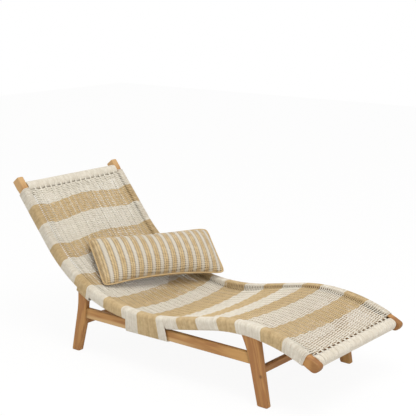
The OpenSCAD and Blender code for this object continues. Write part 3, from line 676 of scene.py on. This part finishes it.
barTurn = warpPitch / weave["turnsPerWarp"]
for where, pad in (("head", bar["headPad"]), ("foot", cord["clear"])):
    half = bar["width"] / 2 + cordRadius + pad
    ring = turnRing(half, half, -half, bar["rounding"] + cordRadius + pad)
    across = (np.arange(-63, 63) + 0.5) * barTurn
    # On the upper side of a bar a slit opens between the turns over each pair of warps
    fromWarp = (across / warpPitch + 0.5) % 1 - 0.5
    slit = np.sign(fromWarp) * (0.5 - np.abs(fromWarp)) * cord[where + "Slit"] * dice.uniform(0.3, 1.3, len(across))
    onTop = np.clip(ring[:, 1] / bar["width"] * 2 + 0.4, 0, 1)
    sideways = across[:, None] + slit[:, None] * onTop + dice.normal(0, 0.00012, (len(across), 1))
    paths = onRail(bar[where + "At"] + ring[None, :, 0], sideways, ring[None, :, 1])
    ups = np.broadcast_to([0.0, 1.0, 0.0], paths.shape)
    radius = barTurn / 2 * (1 + dice.normal(0, 0.02, (len(across), 1)))
    turns = sweepTubes(paths, ups, radius, closed=True, crease=cord[where + "Crease"])
    finishCords(where + "BarWinding", [turns], "cream", creamCord, where + "_bar_wrap")
print("windings ready")


# Woven panel

def sagOf(s):
    # Depth of the panel's middle below the rails, eased from one place of the table to the next
    marks = weave["sag"]
    value = np.full_like(np.asarray(s, float), marks[0][1])
    for (a, low), (b, high) in zip(marks, marks[1:]):
        t = np.clip((s - a) / (b - a), 0, 1)
        value = np.where(s >= a, low + (high - low) * t * t * (3 - 2 * t), value)
    return value


def duskAt(s):
    # How dark the painted shade in the hollows is at s, less so in tan
    return fromTable(weave["dusk"], s) * np.where(isTan(s), weave["tanDusk"], 1)


def panelHeight(s, y):
    # Middle of the panel above the rail's centre line: a hanging bow whose edges hang down the inner faces
    drop = fromTable(weave["edgeDrop"], s)
    bow = np.clip(1 - (y / weave["edge"]) ** 2, 0, 1)
    return railDepth(s) / 2 + cord["layer"] - weave["thick"] / 2 - drop - np.maximum(sagOf(s) - drop, 0.003) * bow


def bowed(s, y):
    # On the back the rows bow towards the head in the middle and the other way near the rails
    turnBack = 0.86         # share of the half width where they come back
    t = np.clip(np.abs(y) / 0.29, 0, 1)
    bow = np.cos(pi * np.minimum(t / turnBack, 1)) * 0.765 + 0.235
    bow = bow * np.where(t < turnBack, 1, (1 - t) / (1 - turnBack))
    return fromTable(weave["skew"], s) * y / 0.3 - fromTable(weave["bow"], s) * bow


warpY = (np.arange(warpPairs) - (warpPairs - 1) / 2) * warpPitch
gapShape = 0.2 + 1.1 * dice.uniform(0, 1, (2, warpPairs + 1)) ** 0.8


def pulledFromBar(s, y):
    # At the head a row touches the bar at the warps and draws back between them; at the foot the other way round
    place = (y - warpY[0]) / warpPitch
    between = np.sin(pi * place) ** 2
    column, nearest = (np.clip(number.astype(int), 0, warpPairs)
                       for number in (np.floor(place) + 1, np.round(place)))
    head = gapShape[0][column] * weave["pulledHead"] * np.exp(-(s - rows[0]) / 0.012)
    foot = gapShape[1][nearest] * weave["pulledFoot"] * np.exp(-(rows[-1] - s) / 0.01)
    return between * head - (1 - between) ** 3 * foot


def alongPanel(s, y, n):
    # Points of a path over the panel, and the upward direction at each
    h = railLine(s)[2]
    return onRail(s, y, n), np.stack(np.broadcast_arrays(-np.sin(h), 0 * h, np.cos(h)), -1)


def wefts(index, over):
    # One cord of each row, a wave over the even pairs of warps and under the odd ones, or the other way round. Past
    # the outer warps the first climbs the rail's inner face and runs over it; the other goes down to its lower edge
    count = len(index)
    s, half = rows[index][:, None], halfRow[index][:, None]
    sign, offset = (1, -0.5) if over else (-1, 0.5)
    step = warpPitch / 6
    reach = int(np.ceil((warpPairs - 1) * 3 + 0.8))
    inner = step * np.arange(-reach, reach + 1)
    wave = np.cos(pi * (inner - warpY[0]) / warpPitch)
    jitter = np.repeat(dice.normal(0, 0.00022, (count, len(inner) // 3 + 1)), 3, axis=1)[:, :len(inner)]
    wander = sum(dice.normal(0, 0.0002, (count, 1)) * np.sin(k * pi * inner / 0.3 + dice.uniform(0, 6, (count, 1)))
                 for k in (1, 2, 5))
    along = s + offset * half + bowed(s, inner) + pulledFromBar(s, inner) + wander + jitter * wave ** 2
    height = panelHeight(along, inner) + sign * wave * weave["wave"] * (1 + jitter * 300)
    above = np.clip(sign * wave, 0, 1) ** 1.5
    below = np.clip(-sign * wave, 0, 1) ** 0.7
    middle, spread = fromTable(weave["middle"], s), fromTable(weave["spread"], s) * np.where(isTan(s), 1.1, 1)
    wide = middle + (spread - middle) * above + (weave["under"] - middle) * below
    if over:
        outY = np.array([inner[-1] + 0.009, 0.28, 0.2842, 0.2858, 0.2866, 0.2905, 0.2975, 0.305])
        rise = np.array([0, 0.1, 0.32, 0.56, 0.78, 0.93, 0.99, 1])
    else:
        outY = np.array([inner[-1] + 0.008, 0.2805, 0.286, 0.2885])
        onBack = np.clip((0.85 - s) / 0.2, 0, 1)   # there the cord stays level until it meets the rail
        rise = np.array([0.1, 0.35, 0.7, 1]) * (1 - onBack) + np.array([0, 0.02, 0.25, 1]) * onBack
    outS = np.broadcast_to(s + offset * half, (count, len(outY)))
    goal = railDepth(outS) / 2 + onWood if over else weave["lowerEdge"] - railDepth(outS) / 2
    edge = panelHeight(outS, outY)
    outN = edge + (goal - edge) * rise + sign / 2 * weave["wave"] * np.clip(1 - rise * 3, 0, 1)
    level = np.full(outS.shape, 0.006 if over else 0.0)
    level = np.concatenate([level, height - panelHeight(along, inner), level], 1)
    skew = fromTable(weave["skew"], outS) * 0.95
    along = np.concatenate([outS - skew, along, outS + skew], 1)
    height = np.concatenate([outN[:, ::-1], height, outN], 1)
    y = np.broadcast_to(np.concatenate([-outY[::-1], inner, outY]), along.shape)
    end = np.full(outS.shape, 0.0022 if over else 0.0029)
    wide = np.concatenate([end, wide, end], 1) * (1 + dice.normal(0, 0.025, (count, 1)))
    high = np.minimum(cordRadius, cordRadius ** 2 / wide * 1.15)
    dusk = duskAt(s) * np.ones(outS.shape)
    endDusk = np.maximum(dusk, rise * np.where(s < 1.6, 0.9, 0.5))   # painted shade on its way down the rail
    dusk = np.concatenate([endDusk[:, ::-1], duskAt(s) * np.ones((count, len(inner))), endDusk], 1)
    paths, ups = alongPanel(along, y, height)
    return sweepTubes(paths, ups, wide, high, sides=6, level=level, dusk=dusk)


def returns(index):
    # The cord that went over the rail comes back beneath it and up to the underside of the panel
    y = np.array([0.25, 0.262, 0.272, 0.281, 0.2885])
    rise = np.array([0, 0.05, 0.25, 0.65, 1.0])
    s = np.broadcast_to((rows - halfRow / 2)[index][:, None], (len(index), len(y)))
    height = (panelHeight(s, y) - weave["wave"]) * (1 - rise) + (weave["lowerEdge"] - railDepth(s) / 2) * rise
    bundles = []
    for side in (-1, 1):
        paths, ups = alongPanel(s, side * np.broadcast_to(y, s.shape), height)
        bundles.append(sweepTubes(paths, ups, cordRadius * 1.2, sides=6))
    return bundles


def warps(pairs):
    # Cords along the panel in pairs, which splay at the foot bar; each rises a little between two wefts above it
    steps = np.arange(-0.25, len(rows) - 0.5, 0.5)
    s, place = rowPlace(steps), warpY[pairs][:, None]
    even = np.where(pairs % 2 == 0, 1, -1)[:, None]
    beat = np.where(np.arange(len(steps)) % 2 == 0, -1, 1)   # a weft of the first kind crosses at even steps
    panel = panelHeight(s + 0 * place, place)
    height = panel + even * beat * fromTable(weave["lift"], s)
    level = np.pad(height - panel, ((0, 0), (4, 4)), constant_values=0.006)
    onBar = np.array([0.35, 0.8, 0.97, 1.0])   # share of the way up to the top of the bar
    bundles = []
    for twin in (-1, 1):
        sway = dice.normal(0, 0.0003, (len(pairs), 1)) * np.sin(s * 9 + dice.uniform(0, 6, (len(pairs), 1)))
        runs = [(s + 0 * place, place + twin * barTurn / 2 * 0.96 + sway, height)]
        for bound, sign, splay in (weave["panelFrom"], -1, [1, 1, 1, 1]), (weave["panelTo"], 1, [1, 1.3, 1.5, 1.5]):
            n = onBar * (bar["width"] / 2 + onWood) + (1 - onBar) * panelHeight(bound - sign * 0.006, place)
            out = np.broadcast_to(bound + sign * np.array([-0.0015, 0.003, 0.008, 0.015]), n.shape)
            run = out, place + twin * barTurn / 2 * np.array(splay), n
            runs = runs + [run] if sign > 0 else [[part[:, ::-1] for part in run]] + runs
        along, y, up = (np.concatenate(parts, 1) for parts in zip(*runs))
        paths, ups = alongPanel(along, y, up)
        wide, high = cordRadius * 0.96, cordRadius * 0.84
        bundles.append(sweepTubes(paths, ups, wide, high, level=level, dusk=duskAt(along)))
    return bundles


def seamCords(s, way):
    # Cords that lie along an end bar, under the gaps of the seam, with a little painted shade in their hollows
    place = s + way * np.array([0.0045, 0.01, 0.0155, 0.021, 0.0265])[:, None]
    y = np.linspace(-0.283, 0.283, 80)[None, :]
    n = panelHeight(place, y) - 0.0115
    paths, ups = alongPanel(place + 0 * y, y + 0 * place, n)
    return sweepTubes(paths, ups, cordRadius * 1.25, cordRadius, sides=6, level=0 * n, dusk=0.2)


for part, chosen in (("back", rows < 0.8), ("seat", rows >= 0.8)):
    for shade, material in shades.items():
        index = np.flatnonzero(chosen & (isTan(rows) == (shade == "tan")))
        cords = [wefts(index, True), wefts(index, False)] + returns(index)
        finishCords("weft-%s-%s" % (shade, part), cords, shade, material, "panel_" + shade)
everyPair = np.arange(warpPairs)
finishCords("warp-right", warps(everyPair[:9]) + [seamCords(weave["panelFrom"], 1)], "cream", creamCord)
finishCords("warp-left", warps(everyPair[9:]), "cream", creamCord)
# Painted shade: the foot seam's cords take a dark brown, so that the gaps over them read dark
finishCords("footSeam", [seamCords(weave["panelTo"], -1)], "tan", cordLook("oldTan"))
print("panel ready")


# Cushion

cushion = dict(
    length=0.61, height=0.26, faceCrown=0.074, backCrown=0.089,
    pullLower=0.029, pullUpper=0.011, pullShort=0.002,            # how far each side draws in
    cornerShort=0.012, cornerLong=0.009,                          # how far the corners are rounded off
    middle=(-0.3185, 0.0795, 0.379), turn=-23, fall=2, lean=41,   # degrees
    piping=0.0074,
    crownShare=0.95, pressure=4, steps=20, mostMoved=0.012,       # before the cover is filled, and its filling
    stripesFrom=-0.2785, stripePitch=0.042, stripesTo=0.305, creamShare=0.5,
    # groove and hole: painted shade in the knit's grooves and in the holes between stitches
    tan=("#BDA378", "#CFB88F"), cream=("#B7AF9E", "#DAD4C8"), groove="#A58655", hole="#6E5533",
)


def rotation(axis, degrees):
    # Matrix that turns about x, y or z, numbered 0, 1 and 2
    c, s = cos(radians(degrees)), sin(radians(degrees))
    turned = np.array([[1, 0, 0], [0, c, -s], [0, s, c]])
    return np.roll(turned, (axis, axis), (0, 1))


cushionTurn = rotation(2, cushion["turn"]) @ rotation(0, -cushion["fall"]) @ rotation(1, cushion["lean"])
cushionMiddle = np.array(cushion["middle"]) + [0, middleY, 0]


def seamOutline(a, b):
    # Across and along on the cushion; the sides draw in between the corners, and the corners are rounded off
    pull = np.where(np.sin(a) > 0, cushion["pullLower"], cushion["pullUpper"])
    corner = np.abs(np.sin(a) * np.sin(b)) ** 12
    across = cushion["height"] / 2 - pull * np.cos(b) ** 2 - cushion["cornerLong"] * corner
    along = cushion["length"] / 2 - cushion["pullShort"] * np.cos(a) ** 2 - cushion["cornerShort"] * corner
    return np.sin(a) * across, np.sin(b) * along


def cushionShell(name, size=1.0, rowsAcross=44, rowsAlong=96):
    # Two crowned faces that share their outer ring of points; the crown is a rounded hump across times one along
    a, b = (np.linspace(-pi / 2, pi / 2, count + 1) for count in (rowsAcross, rowsAlong))
    a, b = np.meshgrid(a, b, indexing="ij")
    x, y = seamOutline(a, b)
    hump = [np.clip(1 - np.abs(np.sin(t)) ** power, 0, 1) ** 0.55 for t, power in ((a, 2.3), (b, 3.4))]
    grids = [np.stack([x, y, size * height * hump[0] * hump[1]], -1)
             for height in (cushion["faceCrown"], -cushion["backCrown"])]
    columns = rowsAlong + 1
    quads = gridFaces(rowsAcross + 1, columns)
    count = (rowsAcross + 1) * columns
    rim = np.zeros((rowsAcross + 1, columns), bool)
    rim[0] = rim[-1] = rim[:, 0] = rim[:, -1] = True
    number = np.arange(count, 2 * count)
    number[rim.ravel()] = np.arange(count)[rim.ravel()]
    faces = np.vstack([quads, number[quads][:, ::-1]])
    used, faces = np.unique(faces, return_inverse=True)
    points = np.vstack([g.reshape(-1, 3) for g in grids])[used]
    faces = faces.reshape(-1, 4)
    uv = np.stack([points[:, 1], points[:, 0]], -1)[faces.ravel()]
    points[:, :2] *= min(1.0, size + 0.1)
    return makePiece(name, points @ cushionTurn.T + cushionMiddle, faces.tolist(), uv), np.flatnonzero(rim.ravel())


def knitted(name):
    # Ribs across the short way, one in three cream between tan ones, with a run of little stitches in every groove,
    # and painted shade in the grooves and in the holes between stitches
    shader = Shader(name)
    follow = shader.node("UVMap", {"uv_map": "alongCord"})
    place = shader.place()
    lint = shader.noise(place, 700, 2, 0.6)
    patch = shader.noise(place, 40, 2)
    wander = shader.noise(place, 30, 2) - 0.5
    along, across = follow.part(0) + wander * 0.0025 - cushion["stripesFrom"], follow.part(1)
    share = (along / cushion["stripePitch"] + 2).fraction()
    creamShare, tanRibWide = cushion["creamShare"], (1 - cushion["creamShare"]) / 2
    cream = 1 - share.above(creamShare)
    creamRib = (share / creamShare - 0.5).abs() * 2
    tanRib = (((share - creamShare) / tanRibWide).fraction() - 0.5).abs() * 2
    middle = creamRib * cream + tanRib * (1 - cream)   # 0 on the crest of a rib, 1 in the groove
    ribHeight = 1 - middle ** 3
    stitchRun = (across / 0.0072 + middle * 0.25).fraction()
    stitch = 1 - ((stitchRun - 0.5).abs() * 2) ** 2   # one little loop after another down the rib
    inside = (along + 0.004).above(0) * (1 - along.above(cushion["stripesTo"] - cushion["stripesFrom"]))
    tanTone = shader.blend(patch.between(0.35, 0.65), *cushion["tan"])
    creamTone = shader.blend(lint.between(0.3, 0.7), *cushion["cream"])
    tone = shader.blend(cream * inside, tanTone, creamTone)
    groove = middle.between(0.6, 0.98)
    hole = middle.between(0.5, 0.8) * (1 - stitch).between(0.2, 0.7)
    # Painted shade in the grooves and between stitches, with a little random tone from the lint; darker painted
    # shade in the holes
    tone = shader.blend(groove * 0.3 + (1 - stitch) * 0.15 + lint * 0.08, tone, cushion["groove"])
    tone = shader.blend(hole * (0.3 + lint.between(0.4, 0.55) * 0.7), tone, cushion["hole"])
    relief = ribHeight * 0.6 + stitch * 0.4 - hole * 0.6
    return shader.finish(tone, 0.9, relief, 0.003, Sheen_Weight=0.2, Sheen_Roughness=0.5)


cover, seamPoints = cushionShell("cushionCover", cushion["crownShare"])
coverMesh = cover.data
# The cover is blown up a little from a slacker form, so that it puckers along its seam
rest = np.empty(len(coverMesh.vertices) * 3)
coverMesh.vertices.foreach_get("co", rest)
cloth = cover.modifiers.new("fill", "CLOTH")
cloth.settings.use_pressure = True
cloth.settings.uniform_pressure_force = cushion["pressure"]
cloth.settings.effector_weights.gravity = 0
cloth.settings.quality = 6
seam = cover.vertex_groups.new(name="seam")
seam.add(seamPoints.tolist(), 1.0, "REPLACE")
cloth.settings.vertex_group_mass = "seam"
cloth.point_cache.frame_start, cloth.point_cache.frame_end = 1, cushion["steps"]
for step in range(1, cushion["steps"] + 1):
    scene.frame_set(step)
ready = cover.evaluated_get(bpy.context.evaluated_depsgraph_get())
moved = np.empty_like(rest)
ready.data.vertices.foreach_get("co", moved)
cover.modifiers.clear()
cover.vertex_groups.clear()
scene.frame_set(1)
shift = (moved - rest).reshape(-1, 3)
far = np.linalg.norm(shift, axis=1, keepdims=True)
shift *= np.minimum(1, cushion["mostMoved"] / np.maximum(far, 1e-9))
coverMesh.vertices.foreach_set("co", rest + shift.ravel())
coverMesh.update()
print("cushion filled, moved up to %.1f mm" % (1000 * far.max()))
smooth = cover.modifiers.new("smooth", "SUBSURF")
smooth.levels = smooth.render_levels = 1
finishPiece(cover, "cushion", "cushion_cover", knitted("stripedKnit"), "cushion_face", "cushion_back")

# The piping runs round the seam, just outside the cover's rim
turn, one = np.linspace(-pi / 2, pi / 2, 80, endpoint=False), np.full(80, pi / 2)
a, b = (np.concatenate(quarters) for quarters in ((turn, one, -turn, -one), (-one, turn, one, -turn)))
outline = np.stack(seamOutline(a, b), -1)
for _ in range(3):
    outline = (np.roll(outline, 1, 0) + 2 * outline + np.roll(outline, -1, 0)) / 4
outward = unit(np.roll(outline, -1, 0) - np.roll(outline, 1, 0)) @ np.array([[0, -1], [1, 0]])
line = np.column_stack([outline + outward * cushion["piping"] / 2, np.zeros(len(outline))])
line = line @ cushionTurn.T + cushionMiddle
ups = np.broadcast_to(cushionTurn[:, 2], (1, len(line), 3))
piping = makeCords("cushionPiping", [sweepTubes(line[None], ups, cushion["piping"] / 2, sides=8, closed=True)])
finishPiece(piping, "cushion", "cushion_cover", cordLook("piping"), "cushion_piping")

filling = Shader("filling")
fluff = filling.noise(filling.place(), 400.0)
filling.finish(filling.blend(fluff, "#E9E6DE", "#F6F4EE"), 0.9, fluff, 0.0002)
insert = cushionShell("cushionFilling", 0.8, 20, 44)[0]
finishPiece(insert, "cushion", "filling", filling.owner, "cushion_insert")
print("cushion ready")


# Floor, light and camera

studio = dict(
    floorHalf=9, floorHeight=-0.0005, floorTones=((0.86, 0.86, 0.86, 1), (0.88, 0.88, 0.88, 1)),
    floorWhite=0.92,   # share of white that the camera sees in the floor
    skyColour=(1.0, 0.99, 0.975, 1), skyStrength=0.84,
    lampColour=(1.0, 0.98, 0.95), lampTarget=(0, 0, 0.3),
    lamps=[("keyLamp", (1.7, -1.0, 4.2), 2.4, 92), ("fillLamp", (3.2, -1.4, 3.2), 2.6, 18)],   # place, size, power
)
view = dict(
    place=(2.7714, -3.4035, 1.6319),   # y from the lounger's middle
    turn=38.673, down=12.41,           # degrees
    focal=1029.7, pixels=416,          # in pixels of the photograph, and its width
)

paper = Shader("paperFloor")
tone = paper.blend(paper.noise(paper.place(), 8.0), *studio["floorTones"])
paper.finish(tone, 0.9)
half, height = studio["floorHalf"], studio["floorHeight"]
corners = [(x * half, y * half, height) for x, y in ((-1, -1), (1, -1), (1, 1), (-1, 1))]
floor = makePiece("floor", np.array(corners), [[0, 1, 2, 3]])
floor.data.materials.append(paper.showWhite("Emission", studio["floorWhite"]))

sky = Shader("studio", world=True)
sky.plug(sky.surface.inputs["Color"], studio["skyColour"])
sky.plug(sky.surface.inputs["Strength"], studio["skyStrength"])
scene.world = sky.showWhite("Background", 1.0)

for name, place, size, power in studio["lamps"]:
    lamp = bpy.data.lights.new(name, "AREA")
    lamp.shape, lamp.size, lamp.energy, lamp.color = "DISK", size, power, studio["lampColour"]
    item = newObject(name, lamp)
    item.location = place
    away = np.array(studio["lampTarget"], float) - place
    tilt, turn = np.arctan2(away[2], np.hypot(away[0], away[1])), np.arctan2(away[1], away[0])
    item.rotation_euler = (pi / 2 + tilt, 0, turn - pi / 2)

lens = bpy.data.cameras.new("photoCamera")
lens.sensor_fit, lens.sensor_width = "HORIZONTAL", 36
lens.lens = view["focal"] / view["pixels"] * lens.sensor_width
camera = newObject("photoCamera", lens)
camera.location = np.array(view["place"]) + [0, middleY, 0]
camera.rotation_euler = (radians(90 - view["down"]), 0, radians(view["turn"]))
scene.camera = camera
scene.view_settings.view_transform = "Standard"
